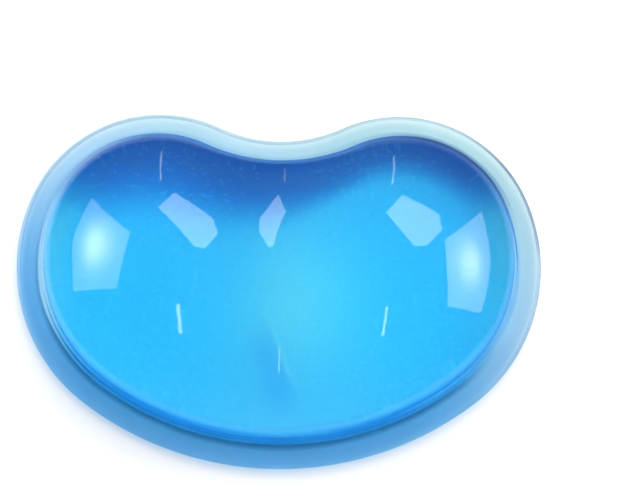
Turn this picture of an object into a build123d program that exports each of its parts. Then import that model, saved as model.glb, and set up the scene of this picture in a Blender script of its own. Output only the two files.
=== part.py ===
from build123d import *
from math import asin, atan2, cos, degrees, exp, radians, sin
import os

# Kidney-shaped gel wrist rest, in millimetres.
# X is the width, +Y points to the notched back edge, +Z is up.
# The origin lies on the desk, under the middle of the overall footprint.

# Outline of the welded rim: front, flank, lobe and notch arcs, each tangent to the next.
WIDTH = 109.2
CENTRE_DEPTH = 68.6
FRONT_RADIUS = 67.0
FLANK_RADIUS = 36.4
LOBE_RADIUS = 28.9
FLANK_END_ANGLE = 22.5

# Layers, from the desk up.
PAD_THICKNESS = 1.0
SHEET_THICKNESS = 1.0
FLANGE_THICKNESS = 0.6
HEIGHT = 20.0

# Insets from the rim's outer edge, and the rounding of edges.
PAD_INSET = 1.2
DOME_INSET = 5.0
EDGE_ROUND = 0.25
PAD_ROUND = 0.3
FOOT_RADIUS = 0.8

# Dome: a steep wall, a rounded shoulder and a crown with one lobe each side of a valley.
SKIN_WALL = 0.5
GEL_CLEARANCE = 0.02
WALL_DRAFT = 6.0
SHOULDER_RADIUS = 5.0
CREST_X = 26.7
CREST_Y = 3.9
CREST_RADIUS = 72.0
FLANK_DROP = 0.75
VALLEY_DROP = 1.9
VALLEY_WIDTH = 10.7
VALLEY_START = -18.5
VALLEY_BLEND = 2.2
CROWN_POINTS_X = 41
CROWN_POINTS_Y = 33
CROWN_MARGIN = 1.06

# Arc centres that follow from the tangencies.
FLANK_START = asin((WIDTH / 2 - FLANK_RADIUS) / (FRONT_RADIUS - FLANK_RADIUS))
FLANK_END = radians(FLANK_END_ANGLE)
FLANK_X = (FRONT_RADIUS - FLANK_RADIUS) * sin(FLANK_START)
FLANK_RISE = FRONT_RADIUS - (FRONT_RADIUS - FLANK_RADIUS) * cos(FLANK_START)
LOBE_X = FLANK_X + (FLANK_RADIUS - LOBE_RADIUS) * cos(FLANK_END)
LOBE_RISE = FLANK_RISE + (FLANK_RADIUS - LOBE_RADIUS) * sin(FLANK_END)
NOTCH_GAP = CENTRE_DEPTH - LOBE_RISE
NOTCH_RADIUS = (LOBE_X**2 + NOTCH_GAP**2 - LOBE_RADIUS**2) / (2 * (LOBE_RADIUS - NOTCH_GAP))

# The rises above are counted from the front edge, which lies half the overall depth before the origin.
DEPTH = LOBE_RISE + LOBE_RADIUS
FRONT_CENTRE = (0, FRONT_RADIUS - DEPTH / 2)
FLANK_CENTRE = (FLANK_X, FLANK_RISE - DEPTH / 2)
LOBE_CENTRE = (LOBE_X, LOBE_RISE - DEPTH / 2)
NOTCH_CENTRE = (0, CENTRE_DEPTH + NOTCH_RADIUS - DEPTH / 2)
NOTCH_START = atan2(LOBE_CENTRE[1] - NOTCH_CENTRE[1], LOBE_CENTRE[0])

SHEET_BOTTOM = PAD_THICKNESS
FLANGE_BOTTOM = PAD_THICKNESS + SHEET_THICKNESS
FLANGE_TOP = FLANGE_BOTTOM + FLANGE_THICKNESS


def kidney(inset):
    """The rim outline, moved inward by inset."""
    flank_start = degrees(FLANK_START) - 90
    notch_start = degrees(NOTCH_START)
    lobe_end = notch_start + 180
    with BuildSketch() as outline:
        with BuildLine():
            CenterArc(FRONT_CENTRE, FRONT_RADIUS - inset, -90, flank_start + 90)
            CenterArc(FLANK_CENTRE, FLANK_RADIUS - inset, flank_start, FLANK_END_ANGLE - flank_start)
            CenterArc(LOBE_CENTRE, LOBE_RADIUS - inset, FLANK_END_ANGLE, lobe_end - FLANK_END_ANGLE)
            CenterArc(NOTCH_CENTRE, NOTCH_RADIUS + inset, notch_start, -90 - notch_start)
            mirror(about=Plane.YZ)
        make_face()
    return outline.sketch


def crown_height(x, y):
    """Height of the crown: a lobe each side, and a valley between them that runs out towards the front."""
    arch = (y - CREST_Y) ** 2 / (2 * CREST_RADIUS)
    flanks = FLANK_DROP * ((x / CREST_X) ** 2 - 1) ** 2
    depth = VALLEY_DROP / (1 + exp((VALLEY_START - y) / VALLEY_BLEND))
    return HEIGHT - arch - flanks - depth * exp(-((x / VALLEY_WIDTH) ** 2))


def crown_surface(drop):
    """The crown as one smooth face, lowered by drop and a little wider than the outline."""
    grid = []
    for i in range(CROWN_POINTS_X):
        x = CROWN_MARGIN * WIDTH * (i / (CROWN_POINTS_X - 1) - 0.5)
        row = []
        for j in range(CROWN_POINTS_Y):
            y = CROWN_MARGIN * DEPTH * (j / (CROWN_POINTS_Y - 1) - 0.5)
            row.append((x, y, crown_height(x, y) - drop))
        grid.append(row)
    return Face.make_surface_from_array_of_points(grid)


def dome(wall, foot):
    """Solid dome from the height foot up, smaller than the outside of the skin by wall all over."""
    with BuildPart() as body:
        with BuildSketch(Plane.XY.offset(foot)):
            add(kidney(DOME_INSET + wall))
        extrude(amount=HEIGHT, taper=WALL_DRAFT)
        split(bisect_by=crown_surface(wall), keep=Keep.BOTTOM)
        shoulder = body.faces().sort_by(Axis.Z)[-1].edges()
        fillet(shoulder, radius=SHOULDER_RADIUS - wall)
    return body.part


# Clear, tacky pad that keeps the rest from sliding.
with BuildPart() as grip_pad:
    with BuildSketch():
        add(kidney(PAD_INSET))
    extrude(amount=PAD_THICKNESS)
    fillet(grip_pad.faces().sort_by(Axis.Z)[0].edges(), radius=PAD_ROUND)

# Clear sheet that closes the gel chamber from below.
with BuildPart() as base_sheet:
    with BuildSketch(Plane.XY.offset(SHEET_BOTTOM)):
        add(kidney(0))
    extrude(amount=SHEET_THICKNESS)
    fillet(base_sheet.faces().sort_by(Axis.Z)[0].edges(), radius=EDGE_ROUND)

# Soft gel that fills the chamber.
with BuildPart() as gel_core:
    add(dome(SKIN_WALL + GEL_CLEARANCE, FLANGE_BOTTOM + GEL_CLEARANCE))

# Formed film: a hollow dome with a flat flange that is welded to the sheet.
with BuildPart() as top_skin:
    with BuildSketch(Plane.XY.offset(FLANGE_BOTTOM)):
        add(kidney(0))
    extrude(amount=FLANGE_THICKNESS)
    fillet(top_skin.faces().sort_by(Axis.Z)[-1].edges(), radius=EDGE_ROUND)
    add(dome(0, FLANGE_BOTTOM))
    flange = top_skin.faces().filter_by(Axis.Z).sort_by(Axis.Z)[-1]
    fillet(flange.inner_wires()[0].edges(), radius=FOOT_RADIUS)
    add(dome(SKIN_WALL, FLANGE_BOTTOM), mode=Mode.SUBTRACT)

os.makedirs("parts", exist_ok=True)
pieces = {"grip_pad": grip_pad, "base_sheet": base_sheet, "gel_core": gel_core, "top_skin": top_skin}
for name, piece in pieces.items():
    piece.part.label = name
    export_step(piece.part, f"parts/{name}.step")
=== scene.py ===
"""Gel wrist rest: a kidney-shaped clear film dome full of blue gel, welded round its rim to a clear
base sheet that lies on a tacky grip pad. Shapes are worked out in millimetres, in the CAD frame."""

import math

import bmesh
import bpy
import numpy as np
from mathutils import Matrix, Vector


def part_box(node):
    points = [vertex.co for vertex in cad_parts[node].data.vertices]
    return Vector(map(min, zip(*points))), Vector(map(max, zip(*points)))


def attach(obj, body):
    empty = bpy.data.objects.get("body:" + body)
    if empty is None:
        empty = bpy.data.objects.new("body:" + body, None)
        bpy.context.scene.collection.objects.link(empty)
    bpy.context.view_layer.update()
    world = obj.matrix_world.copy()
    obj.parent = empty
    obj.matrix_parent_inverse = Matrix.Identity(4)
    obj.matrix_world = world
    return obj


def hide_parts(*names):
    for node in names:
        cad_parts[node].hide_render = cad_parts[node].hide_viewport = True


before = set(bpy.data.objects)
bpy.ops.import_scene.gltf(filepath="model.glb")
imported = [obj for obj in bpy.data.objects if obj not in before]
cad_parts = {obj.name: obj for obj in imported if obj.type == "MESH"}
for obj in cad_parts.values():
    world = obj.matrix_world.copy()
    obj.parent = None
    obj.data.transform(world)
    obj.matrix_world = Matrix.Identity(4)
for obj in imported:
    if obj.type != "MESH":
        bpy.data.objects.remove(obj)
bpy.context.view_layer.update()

MM = 0.001


def node_box(name):
    """Lowest and highest corner of a CAD node, in millimetres."""
    low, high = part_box(name)
    return np.array(low) / MM, np.array(high) / MM


# ---------------------------------------------------------------- driving dimensions, millimetres
PAD_LOW, PAD_HIGH = node_box("grip_pad")
SHEET_LOW, SHEET_HIGH = node_box("base_sheet")
SKIN_LOW, SKIN_HIGH = node_box("top_skin")

WIDTH = SKIN_HIGH[0] - SKIN_LOW[0]
DEPTH = SKIN_HIGH[1] - SKIN_LOW[1]
HEIGHT = SKIN_HIGH[2]
FLANGE_BOTTOM = SHEET_HIGH[2]
FLANGE_THICKNESS = 0.6
FLANGE_TOP = FLANGE_BOTTOM + FLANGE_THICKNESS
PAD_INSET = PAD_LOW[0] - SKIN_LOW[0]

FRONT_RADIUS = 67.0
FLANK_RADIUS = 36.4
LOBE_RADIUS = 28.9
FLANK_END = math.radians(22.5)
CENTRE_DEPTH = 68.6

DOME_INSET = 5.0
SKIN_WALL = 0.5
GEL_CLEARANCE = 0.02
WALL_DRAFT = math.radians(6.0)
FOOT_RADIUS = 0.8
SHOULDER_SPREAD = 2.8       # how widely the shoulder is rounded at the sides
NOTCH_SPREAD = 1.2          # and at the notch, where the film is drawn tight
NOTCH_HALF_WIDTH = 16.0

CREST_X = 26.8
CREST_Y = 4.3
CREST_RADIUS = 72.5
FLANK_DROP = 0.74
VALLEY_DROP = 2.1
VALLEY_WIDTH_LEFT = 10.3    # the valley is a little wider on its right
VALLEY_WIDTH_RIGHT = 12.3
VALLEY_FLARE = 0.012        # how fast it widens towards the notch
VALLEY_START = -15.8
VALLEY_BLEND = 3.5

EDGE_ROUND = 0.25
BEAD_INSET = 1.1
BEAD_HALF_WIDTH = 0.55
BEAD_HEIGHT = 0.2
PAD_ROUND = 0.3

STATIONS = 400          # points round the outline, a multiple of four
WALL_RINGS = 8
SHOULDER_RINGS = 22
SHOULDER_SHARE = 0.62   # share of the wall, and of the crown's rings, that the close-set rings cover
FILLET_RINGS = 6
BEAD_RINGS = 11
BELL_REACH = 2.4        # the bell that rounds the shoulder, in standard deviations either way
BELL_SAMPLES = 41
SPREAD_LOSS = 0.12      # how much tighter the shoulder is, per millimetre in from the outside
CORNER_STEPS = 8
CROWN_INSET = 12.0      # how far in from the top of the wall the rings reach
QUARTER = math.pi / 2
INSET = "inset"         # mesh attribute: millimetres in from the rim
FLOOR_GAP = 0.05
FLOOR_HALF_WIDTH = 3000.0
FLOOR_GREY = (0.6, 0.6, 0.6, 1)

# ---------------------------------------------------------------- room light
NEAR_PANELS = 200.0         # heights of the light panels
FAR_PANELS = 600.0
HOT_REACH = 30.0            # size of the bright spot on a panel
# Name, height, corners, strength, extra strength at the bright spot, and where that spot is.
PANELS = (
    ("panel_left", NEAR_PANELS,
     ((-130, 130), (-55, 65), (-70, -10), (-165, -15), (-175, 65)), 2.5, 9.0, (-110, 50)),
    ("panel_right", NEAR_PANELS,
     ((170, 120), (75, 60), (80, -30), (165, -45), (190, 45)), 3.4, 8.0, (125, 30)),
    ("panel_back", FAR_PANELS,
     ((15, 380), (-35, 300), (60, 145), (100, 145), (160, 215), (150, 280)), 4.5),
    ("strip_front", FAR_PANELS, ((-3, -80), (-3, -190), (3, -190), (3, -80)), 7.0),
    ("strip_back", FAR_PANELS, ((-27, 450), (-27, 720), (-21, 720), (-21, 450)), 5.0),
)
WINDOW = (68, 42)           # azimuth and elevation of the brightest part of the room, degrees
WINDOW_FALL = (0.25, 0.98)  # cosines between which the light rises to its brightest
ROOM_LIGHT = 0.7
WINDOW_LIGHT = 6.0
MIRRORED_SHARE = 0.05       # how much of the room the glossy surfaces mirror

# ---------------------------------------------------------------- camera
LENS, SENSOR = 107.5, 36.0
CAMERA_ELEVATION = math.radians(82.0)   # it stands in front of the object, above the middle
CAMERA_DISTANCE = 400.0
CAMERA_AIM = (8.45, 10.43, 0)
CAMERA_ROLL = math.radians(0.3)

# ---------------------------------------------------------------- film colours: painted light and shade
# Each pair says where one colour turns into the next, in millimetres: ALONG runs towards the window,
# ACROSS to its right, BACK towards the notch, and insets are measured in from the rim.
TO_WINDOW = (0.336, 0.942, 0.0)
CLEAR = (1.0, 1.0, 1.0)
LINE_CORE = 0.4                         # share of a soft line's width that has its full colour
# painted light and shade on the rim: gel blue where light has come through the gel, sky-lit and pale towards
# the window
RIM_BLUE, RIM_SKY, RIM_PALE = (0.34, 0.65, 0.90), (0.59, 0.77, 0.89), (0.62, 0.79, 0.81)
RIM_TURN_ALONG = (-18, 14)
RIM_BRIGHT_ALONG = (8, 40)
RIM_DEEP_SHADE = (0.11, 0.31, 0.53)           # painted shade on the front rim next to the gel
RIM_DEEP_INSET, RIM_DEEP_ALONG = (3.4, 4.8), (8, -14)

EDGE_LINE = (0.66, 0.72, 0.77)          # the cut edge of the film
EDGE_DARKER = (0.40, 0.44, 0.56)         # and the same at the right, where it is darker
EDGE_HALF_WIDTH = 0.5
EDGE_ACROSS, EDGE_INSETS = (10, -20), (0.3, 0.6)
EDGE_ALONG = (-20, 10)
DARKER_ACROSS, DARKER_FROM, DARKER_UNTIL = (20, 36), (22, 30), (50, 40)

WALL_SHADE = (0.42, 0.68, 0.90)
WALL_SUNNY = (0.80, 0.92, 1.00)
SUNNY_ACROSS, SUNNY_ALONG = (-34, -46), (-34, -22)
WALL_FOOT_BACK, WALL_FOOT_INSETS = (-14, 0), (DOME_INSET - 0.3, DOME_INSET - 0.9)
WALL_BLEND = 0.5
WALL_TOP_INSET = (DOME_INSET + 0.9, DOME_INSET + 3.4)

FAR_WALL_SHADE = (0.48, 0.58, 0.73)           # painted shade on the wall on the notch side
FAR_FROM_INSET, FAR_UNTIL_INSET, FAR_BACK = (3.1, 3.8), (8.6, 7.4), (12, 27)
FAR_ACROSS, FAR_SHARE = (2, 22), (0.3, 1.0)

FOOT_SHADE_LINE = (0.40, 0.64, 0.80)          # painted shade: the dark line at the foot of the front wall
FOOT_LINE_INSET, FOOT_LINE_HALF_WIDTH, FOOT_LINE_ALONG = DOME_INSET + 0.6, 0.4, (-8, -20)

# ---------------------------------------------------------------- film finish
FILM_IOR = 1.5
FILM_GRAIN = 420.0
FILM_ROUGHNESS = (0.03, 0.06)
NOISE_MIDDLE = (0.3, 0.7)               # the part of the noise that is spread over the whole roughness
DOME_MIRROR, SHEET_MIRROR = 0.35, 0.7   # share of a bare film's reflection; the gel under the dome adds its own
CALM_SHARE = 0.25                       # less of it round the wall, between these insets
CALM_FROM_INSET, CALM_UNTIL_INSET = (2.0, 3.0), (6.4, 8.4)

# ---------------------------------------------------------------- pad and gel colours, with painted light and shade on the pad
PAD_BARE = (0.98, 0.99, 1.0)            # outside the gel
PAD_BLUE = (0.67, 0.92, 1.0)            # painted shade under the gel, away from the painted pool of light
PAD_DEEP_SHADE = (0.25, 0.63, 0.89)           # painted shade under its far edge
PAD_MOTTLE = (0.94, 0.975, 1.0)
MOTTLE_SCALE, MOTTLE_RANGE = 130.0, (0.62, 0.38)
UNDER_GEL_INSET = (DOME_INSET - 0.5, DOME_INSET + 0.5)
# a painted pool of light on the pad under the middle of the gel
LIT_SPOT = (4.0, -2.0, 0.0)
LIT_REACH = 16.0
DEEP_BEND = 0.0036                      # how much further back the painted shade under the far edge starts towards the sides, per mm
DEEP_BACK = (6.0, 20.0)
DEEP_SIDES = (-20, 20)                  # from left to right, the inset where it starts runs from
DEEP_START, DEEP_FULL = (29.0, 16.0), 9.5   # the first of these to the second
# painted light on the pad near the side walls
BRIGHT_SIDES, BRIGHT_INSET, BRIGHT_BACK = (36**2, 47**2), (16, 8), (16, 4)

SAG_SLANT = math.radians(23)            # the crease, drawn as a painted pale line: its slant, and how far it passes from the origin
SAG_OFFSET = -4.5
SAG_LINE_HALF_WIDTH, SAG_LINE_SHARE = 0.9, 0.6
SAG_LINE_FROM, SAG_LINE_UNTIL = (0, 5), (20, 14)
SAG_SHADE = (0.90, 0.95, 1.0)           # and painted shade, a deeper blue, on its left
SAG_SHADE_NEAR, SAG_SHADE_FAR = (0.2, -0.8), (-9, -3)
SAG_SHADE_FROM, SAG_SHADE_UNTIL = (3, 11), (25, 18)

GEL_BLUE, GEL_DENSITY, GEL_IOR = (0.39, 0.915, 0.996, 1), 115.0, 1.42
GEL_HAZE = (0.94, 0.97, 0.99)
GEL_CLOUD, GEL_CLOUD_RANGE = 90.0, (0.35, 0.65)


# ---------------------------------------------------------------- outline and rings
def half_outline_arcs():
    """(centre, radius, first angle, last angle) of the four arcs from mid front to mid notch.
    The notch is hollow, so its radius is negative."""
    front_centre = np.array([0.0, FRONT_RADIUS - DEPTH / 2])
    step = FRONT_RADIUS - FLANK_RADIUS
    flank_start = math.asin((WIDTH / 2 - FLANK_RADIUS) / step)
    flank_centre = front_centre + step * np.array([math.sin(flank_start), -math.cos(flank_start)])
    step = FLANK_RADIUS - LOBE_RADIUS
    lobe_centre = flank_centre + step * np.array([math.cos(FLANK_END), math.sin(FLANK_END)])
    gap = CENTRE_DEPTH - DEPTH / 2 - lobe_centre[1]
    notch_radius = (lobe_centre[0] ** 2 + gap**2 - LOBE_RADIUS**2) / (2 * (LOBE_RADIUS - gap))
    notch_centre = np.array([0.0, CENTRE_DEPTH - DEPTH / 2 + notch_radius])
    notch_start = math.atan2(lobe_centre[1] - notch_centre[1], lobe_centre[0])
    return (
        (front_centre, FRONT_RADIUS, -QUARTER, flank_start - QUARTER),
        (flank_centre, FLANK_RADIUS, flank_start - QUARTER, FLANK_END),
        (lobe_centre, LOBE_RADIUS, FLANK_END, notch_start + math.pi),
        (notch_centre, -notch_radius, notch_start + math.pi, QUARTER),
    )


def outline():
    """Evenly spaced points round the rim, anticlockwise from mid front, and the outward normal at each."""
    arcs = half_outline_arcs()
    lengths = [abs(radius) * abs(last - first) for _, radius, first, last in arcs]
    ends = np.cumsum([0.0] + lengths)
    along = np.linspace(0, ends[-1], STATIONS // 2 + 1)
    points, normals = [], []
    for distance in along:
        k = min(np.searchsorted(ends, distance, side="right") - 1, len(arcs) - 1)
        centre, radius, first, last = arcs[k]
        angle = first + (last - first) * (distance - ends[k]) / lengths[k]
        normal = np.array([math.cos(angle), math.sin(angle)])
        points.append(centre + radius * normal)
        normals.append(normal)
    points, normals = np.array(points), np.array(normals)
    mirror = np.array([-1.0, 1.0])
    points = np.vstack([points, points[-2:0:-1] * mirror])
    normals = np.vstack([normals, normals[-2:0:-1] * mirror])
    return points, normals


RIM, OUTWARD = outline()


def ring(inset, height):
    """One closed ring of points (x, y, height, inset). Inset and height may differ from station to station."""
    inset = np.broadcast_to(inset, STATIONS)
    height = np.broadcast_to(height, STATIONS)
    return np.column_stack([RIM - inset[:, None] * OUTWARD, height, inset])


def crown_height(x, y):
    """Top of the dome: an arched crest each side and a valley between them that runs out towards the front."""
    arch = (y - CREST_Y) ** 2 / (2 * CREST_RADIUS)
    flanks = FLANK_DROP * ((x / CREST_X) ** 2 - 1) ** 2
    width = np.where(x < 0, VALLEY_WIDTH_LEFT, VALLEY_WIDTH_RIGHT) * np.exp(VALLEY_FLARE * (y - CREST_Y))
    depth = VALLEY_DROP / (1 + np.exp((VALLEY_START - y) / VALLEY_BLEND))
    return HEIGHT - arch - flanks - depth * np.exp(-((x / width) ** 2))


def wall_inset(height, wall):
    return DOME_INSET + wall + (height - FLANGE_BOTTOM) * math.tan(WALL_DRAFT)


def corner(wall):
    """Inset and height, at every station, where the drafted wall would meet the crown."""
    height = np.full(STATIONS, HEIGHT)
    for _ in range(CORNER_STEPS):
        inset = wall_inset(height, wall)
        x, y = (RIM - inset[:, None] * OUTWARD).T
        height = crown_height(x, y) - wall
    return inset, height


def sharp_profile(distance, wall, top_inset, top_height):
    """Inset and height at a distance from the corner along the unrounded profile:
    down the wall if it is negative, in over the crown if it is positive."""
    down = np.minimum(distance, 0)
    inset = top_inset + down * math.sin(WALL_DRAFT) + np.maximum(distance, 0)
    x, y = (RIM - inset[:, None] * OUTWARD).T
    height = np.where(distance < 0, top_height + down * math.cos(WALL_DRAFT), crown_height(x, y) - wall)
    return inset, height


def dome_rings(wall, foot):
    """Rings from the foot of the wall, round the soft shoulder and in over the crown.
    The shoulder is the sharp profile averaged over a bell-shaped stretch either side of each point."""
    top_inset, top_height = corner(wall)
    wall_length = (top_height - foot) / math.cos(WALL_DRAFT)
    at_notch = np.exp(-((RIM[:, 0] / NOTCH_HALF_WIDTH) ** 2)) * (RIM[:, 1] > 0)
    spread = (SHOULDER_SPREAD + (NOTCH_SPREAD - SHOULDER_SPREAD) * at_notch) * (1 - SPREAD_LOSS * wall)
    offsets = np.linspace(-BELL_REACH, BELL_REACH, BELL_SAMPLES)
    weights = np.exp(-(offsets**2) / 2)
    weights /= weights.sum()
    steps = np.concatenate([
        np.linspace(-1, -SHOULDER_SHARE, WALL_RINGS, endpoint=False),
        np.linspace(-SHOULDER_SHARE, SHOULDER_SHARE, SHOULDER_RINGS, endpoint=False),
        np.linspace(SHOULDER_SHARE, 1, WALL_RINGS),
    ])
    rings = []
    for step in steps:
        distance = np.where(step < 0, step * wall_length, step * CROWN_INSET)
        room = np.minimum(distance + wall_length, CROWN_INSET - distance)
        sigma = np.minimum(spread, room / offsets[-1])
        inset, height = np.zeros(STATIONS), np.zeros(STATIONS)
        for offset, weight in zip(offsets, weights):
            part_inset, part_height = sharp_profile(distance + offset * sigma, wall, top_inset, top_height)
            inset += weight * part_inset
            height += weight * part_height
        rings.append(ring(inset, height))
    return rings


def foot_rings():
    """Rings round the small fillet where the wall leaves the flange."""
    last = QUARTER - WALL_DRAFT
    centre_height = FLANGE_TOP + FOOT_RADIUS
    end_height = centre_height - FOOT_RADIUS * math.cos(last)
    centre_inset = wall_inset(end_height, 0) - FOOT_RADIUS * math.sin(last)
    rings = [
        ring(centre_inset + FOOT_RADIUS * math.sin(a), centre_height - FOOT_RADIUS * math.cos(a))
        for a in np.linspace(0, last, FILLET_RINGS)
    ]
    return rings, end_height


# ---------------------------------------------------------------- mesh building
def patch(boundary, height_of):
    """Grid of points that fills a closed ring. Its x and y blend the ring's four quarters."""
    side = STATIONS // 4
    loop = np.roll(boundary[:, :2], side // 2, axis=0)
    front = loop[: side + 1]
    right = loop[side : 2 * side + 1]
    back = loop[2 * side : 3 * side + 1][::-1]
    left = np.vstack([loop[3 * side :], loop[:1]])[::-1]
    u = np.linspace(0, 1, side + 1)[:, None, None]
    v = np.linspace(0, 1, side + 1)[None, :, None]
    flat = (
        (1 - v) * front[:, None] + v * back[:, None] + (1 - u) * left[None] + u * right[None]
        - (1 - u) * (1 - v) * front[0] - u * (1 - v) * front[-1] - (1 - u) * v * back[0] - u * v * back[-1]
    )
    nearest = np.array([np.linalg.norm(RIM[:, None] - row, axis=2).min(axis=0) for row in flat])
    return np.dstack([flat, height_of(flat[..., 0], flat[..., 1]), nearest])


class Builder:
    """Collects rings, bands between rings, and filled rings into one mesh."""

    def __init__(self):
        self.points, self.faces, self.slots, self.count = [], [], [], 0

    def add(self, points):
        start = self.count
        self.points.append(points.reshape(-1, 4))
        self.count += len(self.points[-1])
        return np.arange(start, self.count).reshape(points.shape[:-1])

    def band(self, rings, flip=False, slot=0):
        """Faces between rings that follow one another. Returns the indices of the first and last ring."""
        index = [self.add(r) if np.ndim(r) == 2 else r for r in rings]
        for a, b in zip(index, index[1:]):
            quads = np.column_stack([a, np.roll(a, -1), np.roll(b, -1), b])
            self.take(quads, flip, slot)
        return index[0], index[-1]

    def take(self, quads, flip, slot):
        self.faces.append(quads[:, ::-1] if flip else quads)
        self.slots.append(np.full(len(quads), slot))

    def fill(self, ring_index, height_of, flip=False, slot=0):
        """Fills a ring with a grid that shares the ring's own points."""
        boundary = np.vstack(self.points)[ring_index]
        grid = patch(boundary, height_of)
        side = STATIONS // 4
        index = np.full(grid.shape[:2], -1)
        loop = np.roll(ring_index, side // 2)
        index[:, 0] = loop[: side + 1]
        index[-1, :] = loop[side : 2 * side + 1]
        index[::-1, -1] = loop[2 * side : 3 * side + 1]
        index[0, ::-1] = np.append(loop[3 * side :], loop[0])
        index[1:-1, 1:-1] = self.add(grid[1:-1, 1:-1])
        a, b, c, d = index[:-1, :-1], index[1:, :-1], index[1:, 1:], index[:-1, 1:]
        self.take(np.column_stack([k.ravel() for k in (a, b, c, d)]), flip, slot)

    def make(self, name, materials):
        mesh = bpy.data.meshes.new(name)
        points = np.vstack(self.points)
        mesh.from_pydata((points[:, :3] * MM).tolist(), [], np.vstack(self.faces).tolist())
        mesh.attributes.new(INSET, "FLOAT", "POINT").data.foreach_set("value", points[:, 3].astype(np.float32))
        mesh.polygons.foreach_set("material_index", np.concatenate(self.slots).astype(np.int32))
        mesh.polygons.foreach_set("use_smooth", np.ones(len(mesh.polygons), bool))
        for material in materials:
            mesh.materials.append(material)
        mesh.validate()
        mesh.update()
        piece = bpy.data.objects.new(name, mesh)
        bpy.context.scene.collection.objects.link(piece)
        return piece


def flat_at(height):
    return lambda x, y: np.full(x.shape, height)


def rounded_edge(inset, height, radius, rising, count=5):
    """Rings round a quarter-circle edge: side to top face when rising, otherwise bottom face to side."""
    rings = []
    for a in np.linspace(0, QUARTER, count):
        if rising:
            rings.append(ring(inset + radius * (1 - math.cos(a)), height - radius * (1 - math.sin(a))))
        else:
            rings.append(ring(inset + radius * (1 - math.sin(a)), height + radius * (1 - math.cos(a))))
    return rings


def bead_rings():
    """Rings over the raised weld bead that runs round the flange."""
    rings = []
    for t in np.linspace(-1, 1, BEAD_RINGS):
        lift = BEAD_HEIGHT * math.cos(t * QUARTER) ** 2
        rings.append(ring(BEAD_INSET + t * BEAD_HALF_WIDTH, FLANGE_TOP + lift))
    return rings


# ---------------------------------------------------------------- pieces
def make_top_skin(materials):
    outside = 0
    inside = 1
    build = Builder()
    foot, foot_height = foot_rings()
    outer = (
        [ring(0, FLANGE_BOTTOM)]
        + rounded_edge(0, FLANGE_TOP, EDGE_ROUND, rising=True)
        + bead_rings()
        + foot[:-1]
        + dome_rings(0, foot_height)
    )
    rim, top = build.band(outer, slot=outside)
    build.fill(top, crown_height, slot=outside)
    inner = dome_rings(SKIN_WALL, FLANGE_BOTTOM)
    lip, under = build.band(inner, flip=True, slot=inside)
    build.fill(under, lambda x, y: crown_height(x, y) - SKIN_WALL, flip=True, slot=inside)
    build.band([lip, rim], slot=inside)
    return build.make("dome_film", materials)


def make_gel_core(materials):
    wall = SKIN_WALL + GEL_CLEARANCE
    build = Builder()
    foot, top = build.band(dome_rings(wall, FLANGE_BOTTOM + GEL_CLEARANCE))
    build.fill(top, lambda x, y: crown_height(x, y) - wall)
    build.fill(foot, flat_at(FLANGE_BOTTOM + GEL_CLEARANCE), flip=True)
    return build.make("gel_fill", materials)


def make_slab(name, inset, bottom, top, round_bottom, round_top, materials):
    """A flat kidney-shaped slab with rounded edges. The part of it under the dome has its own slot when a
    second material is given.
    """
    rim_slot, middle_slot = 0, min(1, len(materials) - 1)
    build = Builder()
    under_dome = DOME_INSET + SKIN_WALL
    sides = []
    if round_bottom:
        sides += rounded_edge(inset, bottom, round_bottom, rising=False)
    else:
        sides.append(ring(inset, bottom))
    if round_top:
        sides += rounded_edge(inset, top, round_top, rising=True)
    else:
        sides.append(ring(inset, top))
    rings = [ring(under_dome, bottom)] + sides + [ring(under_dome, top)]
    low, high = build.band(rings, slot=rim_slot)
    build.fill(low, flat_at(bottom), flip=True, slot=middle_slot)
    build.fill(high, flat_at(top), slot=middle_slot)
    return build.make(name, materials)


# ---------------------------------------------------------------- materials
def new_material(name):
    material = bpy.data.materials.new(name)
    material.use_nodes = True
    material.node_tree.nodes.clear()
    return material, material.node_tree


def node(tree, kind, inputs=None, **settings):
    made = tree.nodes.new(kind)
    for key, value in settings.items():
        setattr(made, key, value)
    for key, value in (inputs or {}).items():
        if isinstance(value, bpy.types.NodeSocket):
            tree.links.new(value, made.inputs[key])
        else:
            made.inputs[key].default_value = value
    return made


def maths(tree, operation, *values):
    return node(tree, "ShaderNodeMath", dict(enumerate(values)), operation=operation).outputs[0]


def ramp(tree, value, low, high, first=0.0, last=1.0):
    """A smooth step from first to last as value goes from low to high."""
    made = node(tree, "ShaderNodeMapRange", {"Value": value, "From Min": low, "From Max": high,
                                            "To Min": first, "To Max": last}, interpolation_type="SMOOTHSTEP")
    return made.outputs["Result"]


def mix_colour(tree, share, first, last, blend="MIX"):
    made = node(tree, "ShaderNodeMix", data_type="RGBA", blend_type=blend)
    for key, value in ((0, share), (6, first), (7, last)):
        if isinstance(value, bpy.types.NodeSocket):
            tree.links.new(value, made.inputs[key])
        else:
            made.inputs[key].default_value = value if key == 0 else (*value, 1)
    return made.outputs[2]


def millimetres(tree, axis):
    """How far each point lies along an axis through the origin."""
    place = node(tree, "ShaderNodeNewGeometry").outputs["Position"]
    made = node(tree, "ShaderNodeVectorMath", {0: place, 1: axis}, operation="DOT_PRODUCT")
    return maths(tree, "DIVIDE", made.outputs["Value"], MM)


def inset_of(tree):
    return node(tree, "ShaderNodeAttribute", attribute_name=INSET).outputs["Fac"]


def product(tree, first, *others):
    for other in others:
        first = maths(tree, "MULTIPLY", first, other)
    return first


def line_at(tree, place, centre, half_width):
    """A soft line where a place, such as the inset, comes to its centre."""
    away = maths(tree, "ABSOLUTE", maths(tree, "SUBTRACT", place, centre))
    return ramp(tree, away, half_width, LINE_CORE * half_width)


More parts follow.
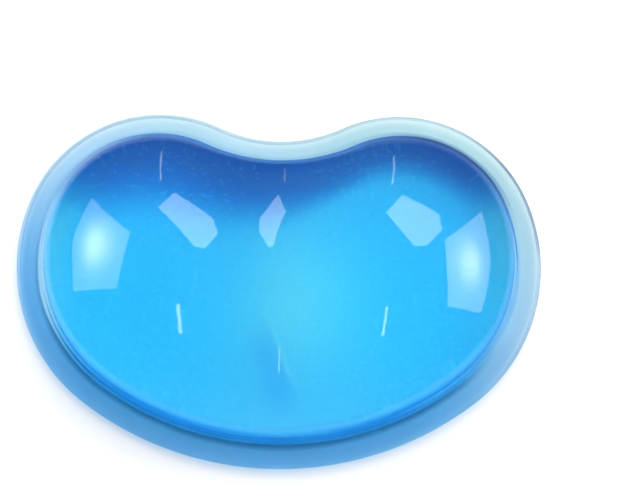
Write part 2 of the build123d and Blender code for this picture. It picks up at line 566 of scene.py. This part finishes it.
def painted_film_light(tree):
    """Colour the film lets through, with painted light and shade: pale at the rim where light reaches it from
    the window, and gel blue where the light has come through the gel, with painted shade deepest at the foot of
    the wall and on the far wall, and a painted dark line at the foot of the front wall; clear over the dome."""
    along = millimetres(tree, TO_WINDOW)
    across = millimetres(tree, (TO_WINDOW[1], -TO_WINDOW[0], 0))
    back = millimetres(tree, (0, 1, 0))
    inset = inset_of(tree)
    # painted light and shade on the rim, by direction to the window
    shade = mix_colour(tree, ramp(tree, along, *RIM_TURN_ALONG), RIM_BLUE, RIM_SKY)
    shade = mix_colour(tree, ramp(tree, along, *RIM_BRIGHT_ALONG), shade, RIM_PALE)
    # painted shade on the front rim next to the gel
    deep_shade = product(tree, ramp(tree, inset, *RIM_DEEP_INSET), ramp(tree, along, *RIM_DEEP_ALONG))
    shade = mix_colour(tree, deep_shade, shade, RIM_DEEP_SHADE)

    edge_inset = ramp(tree, across, *EDGE_ACROSS, *EDGE_INSETS)
    edge = product(tree, line_at(tree, inset, edge_inset, EDGE_HALF_WIDTH), ramp(tree, along, *EDGE_ALONG))
    # the edge line is darker towards the right
    darker_right = product(tree, ramp(tree, across, *DARKER_ACROSS), ramp(tree, along, *DARKER_FROM),
                    ramp(tree, along, *DARKER_UNTIL))
    shade = mix_colour(tree, edge, shade, mix_colour(tree, darker_right, EDGE_LINE, EDGE_DARKER), "MULTIPLY")

    above_foot = maths(tree, "SUBTRACT", inset, ramp(tree, back, *WALL_FOOT_BACK, *WALL_FOOT_INSETS))
    sunny = product(tree, ramp(tree, across, *SUNNY_ACROSS), ramp(tree, along, *SUNNY_ALONG))
    wall = mix_colour(tree, sunny, WALL_SHADE, WALL_SUNNY)
    shade = mix_colour(tree, ramp(tree, above_foot, 0.0, WALL_BLEND), shade, wall)
    shade = mix_colour(tree, ramp(tree, inset, *WALL_TOP_INSET), shade, CLEAR)

    # painted shade on the far wall
    dusk = product(tree, ramp(tree, inset, *FAR_FROM_INSET), ramp(tree, inset, *FAR_UNTIL_INSET),
                   ramp(tree, back, *FAR_BACK), ramp(tree, across, *FAR_ACROSS, *FAR_SHARE))
    shade = mix_colour(tree, dusk, shade, FAR_WALL_SHADE, "MULTIPLY")
    # painted shade: a dark line at the foot of the front wall
    foot = product(tree, line_at(tree, inset, FOOT_LINE_INSET, FOOT_LINE_HALF_WIDTH),
                   ramp(tree, along, *FOOT_LINE_ALONG))
    return mix_colour(tree, foot, shade, FOOT_SHADE_LINE, "MULTIPLY")


def film_material(name, reflect, with_painted_light):
    """Thin clear film: lets light through, on the dome in colours that carry painted light and shade, and
    mirrors by angle on its outside, less so round the wall.
    """
    material, tree = new_material(name)
    clear = node(tree, "ShaderNodeBsdfTransparent", {"Color": painted_film_light(tree) if with_painted_light else (*CLEAR, 1)})
    grain = node(tree, "ShaderNodeTexNoise", {"Scale": FILM_GRAIN, "Detail": 2.0}).outputs["Fac"]
    roughness = ramp(tree, grain, *NOISE_MIDDLE, *FILM_ROUGHNESS)
    gloss = node(tree, "ShaderNodeBsdfGlossy", {"Color": (*CLEAR, 1), "Roughness": roughness})
    fresnel = node(tree, "ShaderNodeFresnel", {"IOR": FILM_IOR})
    front = maths(tree, "SUBTRACT", 1.0, node(tree, "ShaderNodeNewGeometry").outputs["Backfacing"])
    inset = inset_of(tree)
    calm = maths(tree, "MAXIMUM", ramp(tree, inset, *CALM_FROM_INSET, 1.0, CALM_SHARE),
                 ramp(tree, inset, *CALM_UNTIL_INSET, CALM_SHARE, 1.0))
    share = product(tree, fresnel.outputs[0], front, calm, reflect)
    mix = node(tree, "ShaderNodeMixShader", {0: share, 1: clear.outputs[0], 2: gloss.outputs[0]})
    out = node(tree, "ShaderNodeOutputMaterial")
    tree.links.new(mix.outputs[0], out.inputs["Surface"])
    return material


def sag_line(tree, shade):
    """A crease that slants across the front middle, drawn as a faint painted pale line, with painted shade in
    deeper blue on its left.
    """
    level, rise = math.cos(SAG_SLANT), math.sin(SAG_SLANT)
    aside = maths(tree, "SUBTRACT", millimetres(tree, (level, rise, 0)), SAG_OFFSET)
    along = millimetres(tree, (rise, -level, 0))
    left = product(tree, ramp(tree, aside, *SAG_SHADE_NEAR), ramp(tree, aside, *SAG_SHADE_FAR),
                   ramp(tree, along, *SAG_SHADE_FROM), ramp(tree, along, *SAG_SHADE_UNTIL))
    shade = mix_colour(tree, left, shade, SAG_SHADE, "MULTIPLY")
    crease = product(tree, line_at(tree, aside, 0.0, SAG_LINE_HALF_WIDTH), ramp(tree, along, *SAG_LINE_FROM),
                     ramp(tree, along, *SAG_LINE_UNTIL), SAG_LINE_SHARE)
    return mix_colour(tree, crease, shade, CLEAR)


def pad_material():
    """Tacky pad: a bluish clear layer with painted light and shade: palest in a painted pool of light where it
    is lit best, with painted shade deepest under the gel's far edge, painted light near the sides and a painted
    crease.
    """
    material, tree = new_material("tacky_pad")
    place = node(tree, "ShaderNodeNewGeometry").outputs["Position"]
    # painted pool of light round the lit spot; elsewhere under the gel the blue is painted shade
    spot = node(tree, "ShaderNodeVectorMath", {0: place, 1: Vector(LIT_SPOT) * MM}, operation="DISTANCE")
    share = maths(tree, "POWER", maths(tree, "DIVIDE", spot.outputs["Value"], LIT_REACH * MM), 2.0)
    lit = maths(tree, "EXPONENT", maths(tree, "MULTIPLY", share, -1.0))
    shade = mix_colour(tree, lit, PAD_BLUE, CLEAR)
    inset = inset_of(tree)
    right = millimetres(tree, (1, 0, 0))
    aside = maths(tree, "POWER", maths(tree, "ABSOLUTE", right), 2.0)
    back = maths(tree, "MULTIPLY_ADD", aside, -DEEP_BEND, millimetres(tree, (0, 1, 0)))
    start = ramp(tree, right, *DEEP_SIDES, *DEEP_START)
    # painted shade under the gel's far edge
    deep_shade = product(tree, ramp(tree, inset, start, DEEP_FULL), ramp(tree, back, *DEEP_BACK))
    shade = mix_colour(tree, deep_shade, shade, PAD_DEEP_SHADE)
    # painted light near the side walls
    bright_side = product(tree, ramp(tree, aside, *BRIGHT_SIDES), ramp(tree, inset, *BRIGHT_INSET),
                          ramp(tree, back, *BRIGHT_BACK))
    shade = sag_line(tree, mix_colour(tree, bright_side, shade, CLEAR))
    mottle = node(tree, "ShaderNodeTexNoise", {"Scale": MOTTLE_SCALE, "Detail": 3.0}).outputs["Fac"]
    shade = mix_colour(tree, ramp(tree, mottle, *MOTTLE_RANGE), shade, PAD_MOTTLE, "MULTIPLY")
    shade = mix_colour(tree, ramp(tree, inset, *UNDER_GEL_INSET), PAD_BARE, shade)
    clear = node(tree, "ShaderNodeBsdfTransparent", {"Color": shade})
    out = node(tree, "ShaderNodeOutputMaterial")
    tree.links.new(clear.outputs[0], out.inputs["Surface"])
    return material


def clear_material(name):
    """The inside of the film, and the sheet under the dome: quite clear, so the gel shows as it is."""
    material, tree = new_material(name)
    clear = node(tree, "ShaderNodeBsdfTransparent", {"Color": (*CLEAR, 1)})
    out = node(tree, "ShaderNodeOutputMaterial")
    tree.links.new(clear.outputs[0], out.inputs["Surface"])
    return material


def gel_material():
    """Clear blue gel, very slightly cloudy."""
    material, tree = new_material("blue_gel")
    cloud = node(tree, "ShaderNodeTexNoise", {"Scale": GEL_CLOUD, "Detail": 3.0}).outputs["Fac"]
    haze = mix_colour(tree, ramp(tree, cloud, *GEL_CLOUD_RANGE), GEL_HAZE, CLEAR)
    glass = node(tree, "ShaderNodeBsdfPrincipled", {
        "Base Color": haze, "Roughness": 0.0, "IOR": GEL_IOR, "Transmission Weight": 1.0,
    })
    volume = node(tree, "ShaderNodeVolumeAbsorption", {"Color": GEL_BLUE, "Density": GEL_DENSITY})
    out = node(tree, "ShaderNodeOutputMaterial")
    tree.links.new(glass.outputs[0], out.inputs["Surface"])
    tree.links.new(volume.outputs[0], out.inputs["Volume"])
    return material


def floor_material():
    material, tree = new_material("floor_paper")
    paper = node(tree, "ShaderNodeBsdfPrincipled", {"Base Color": FLOOR_GREY, "Roughness": 0.9,
                                                    "Specular IOR Level": 0.0})
    out = node(tree, "ShaderNodeOutputMaterial")
    tree.links.new(paper.outputs[0], out.inputs["Surface"])
    return material


# ---------------------------------------------------------------- stage
def direction(azimuth, elevation):
    """Unit vector; azimuth 0 is +X and 90 is +Y, towards the notch."""
    azimuth, elevation = math.radians(azimuth), math.radians(elevation)
    return Vector((
        math.cos(azimuth) * math.cos(elevation), math.sin(azimuth) * math.cos(elevation), math.sin(elevation)
    ))


def glow_material(name, strength, hot, hot_place):
    """A lit diffuser, with a brighter spot where its lamp sits behind it."""
    material, tree = new_material(name)
    place = node(tree, "ShaderNodeTexCoord").outputs["Object"]
    spot = node(tree, "ShaderNodeVectorMath", {0: place, 1: Vector((*hot_place, 0)) * MM}, operation="DISTANCE")
    share = maths(tree, "POWER", maths(tree, "DIVIDE", spot.outputs["Value"], HOT_REACH * MM), 2.0)
    bell = maths(tree, "EXPONENT", maths(tree, "MULTIPLY", share, -1.0))
    brightness = maths(tree, "MULTIPLY_ADD", bell, hot, strength)
    glow = node(tree, "ShaderNodeEmission", {"Color": (1, 1, 1, 1), "Strength": brightness})
    out = node(tree, "ShaderNodeOutputMaterial")
    tree.links.new(glow.outputs[0], out.inputs["Surface"])
    return material


def light_panel(name, height, corners, strength, hot=0.0, hot_place=(0, 0)):
    """A lit diffuser that hangs level over the table and shows only as a reflection on the film."""
    mesh = bpy.data.meshes.new(name)
    mesh.from_pydata([(x * MM, y * MM, 0) for x, y in corners], [], [tuple(range(len(corners)))])
    mesh.materials.append(glow_material(name, strength, hot, hot_place))
    panel = bpy.data.objects.new(name, mesh)
    panel.location.z = height * MM
    panel.visible_camera = panel.visible_diffuse = panel.visible_transmission = False
    bpy.context.scene.collection.objects.link(panel)


def make_floor():
    mesh = bpy.data.meshes.new("floor")
    grid = bmesh.new()
    bmesh.ops.create_grid(grid, x_segments=8, y_segments=8, size=FLOOR_HALF_WIDTH * MM)
    bmesh.ops.translate(grid, verts=grid.verts, vec=(0, 0, -FLOOR_GAP * MM))
    grid.to_mesh(mesh)
    grid.free()
    floor = bpy.data.objects.new("floor", mesh)
    mesh.materials.append(floor_material())
    bpy.context.scene.collection.objects.link(floor)


def make_camera():
    lens = bpy.data.cameras.new("camera")
    lens.lens = LENS
    lens.sensor_width = SENSOR
    camera = bpy.data.objects.new("camera", lens)
    level, rise = math.cos(CAMERA_ELEVATION), math.sin(CAMERA_ELEVATION)
    place = Vector((0, -CAMERA_DISTANCE * level, CAMERA_DISTANCE * rise)) * MM
    back = (place - Vector(CAMERA_AIM) * MM).normalized()
    right = Vector((0, 1, 0)).cross(back).normalized()
    up = back.cross(right)
    turn = Matrix((right, up, back)).transposed().to_4x4() @ Matrix.Rotation(CAMERA_ROLL, 4, "Z")
    camera.matrix_world = Matrix.Translation(place) @ turn
    bpy.context.scene.collection.objects.link(camera)
    bpy.context.scene.camera = camera


def make_sky():
    """A soft white room, brightest towards the window at the back right. The film mirrors little of it."""
    world = bpy.data.worlds.new("studio")
    bpy.context.scene.world = world
    world.use_nodes = True
    tree = world.node_tree
    tree.nodes.clear()
    place = node(tree, "ShaderNodeTexCoord").outputs["Generated"]
    towards = node(tree, "ShaderNodeVectorMath", {0: place, 1: direction(*WINDOW)}, operation="DOT_PRODUCT")
    light = ramp(tree, towards.outputs["Value"], *WINDOW_FALL, ROOM_LIGHT, WINDOW_LIGHT)
    ray = node(tree, "ShaderNodeLightPath").outputs
    passed_on = maths(tree, "SUBTRACT", 1.0, ray["Is Transmission Ray"])
    mirrored = maths(tree, "MULTIPLY", ray["Is Glossy Ray"], passed_on)
    kept = maths(tree, "MULTIPLY_ADD", mirrored, MIRRORED_SHARE - 1, 1.0)
    glow = node(tree, "ShaderNodeBackground", {"Strength": maths(tree, "MULTIPLY", light, kept)})
    out = node(tree, "ShaderNodeOutputWorld")
    tree.links.new(glow.outputs[0], out.inputs["Surface"])


def make_light():
    make_sky()
    for panel in PANELS:
        light_panel(*panel)


# ---------------------------------------------------------------- assembly
def main():
    film = film_material("clear_film", DOME_MIRROR, with_painted_light=True)
    inner_film = clear_material("clear_film_inner")
    sheet = film_material("clear_sheet", SHEET_MIRROR, with_painted_light=False)
    under = clear_material("clear_sheet_under")
    pad = pad_material()
    gel = gel_material()
    pieces = {
        "top_skin": (make_top_skin([film, inner_film]), "clear_film"),
        "gel_core": (make_gel_core([gel]), "blue_gel"),
        "base_sheet": (
            make_slab("clear_sheet", 0, SHEET_LOW[2], SHEET_HIGH[2], EDGE_ROUND, 0, [sheet, under]),
            "clear_sheet",
        ),
        "grip_pad": (
            make_slab("tacky_pad", PAD_INSET, PAD_LOW[2], PAD_HIGH[2], PAD_ROUND, 0, [pad]),
            "tacky_pad",
        ),
    }
    for cad_node, (piece, slot) in pieces.items():
        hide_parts(cad_node)
        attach(piece, "root")
    make_floor()
    make_light()
    make_camera()
    scene = bpy.context.scene
    scene.view_settings.view_transform = "Standard"
    scene.cycles.max_bounces = 24
    scene.cycles.transmission_bounces = 16
    scene.cycles.glossy_bounces = 16    # reflections inside the gel count as glossy ones
    scene.cycles.transparent_max_bounces = 32


main()
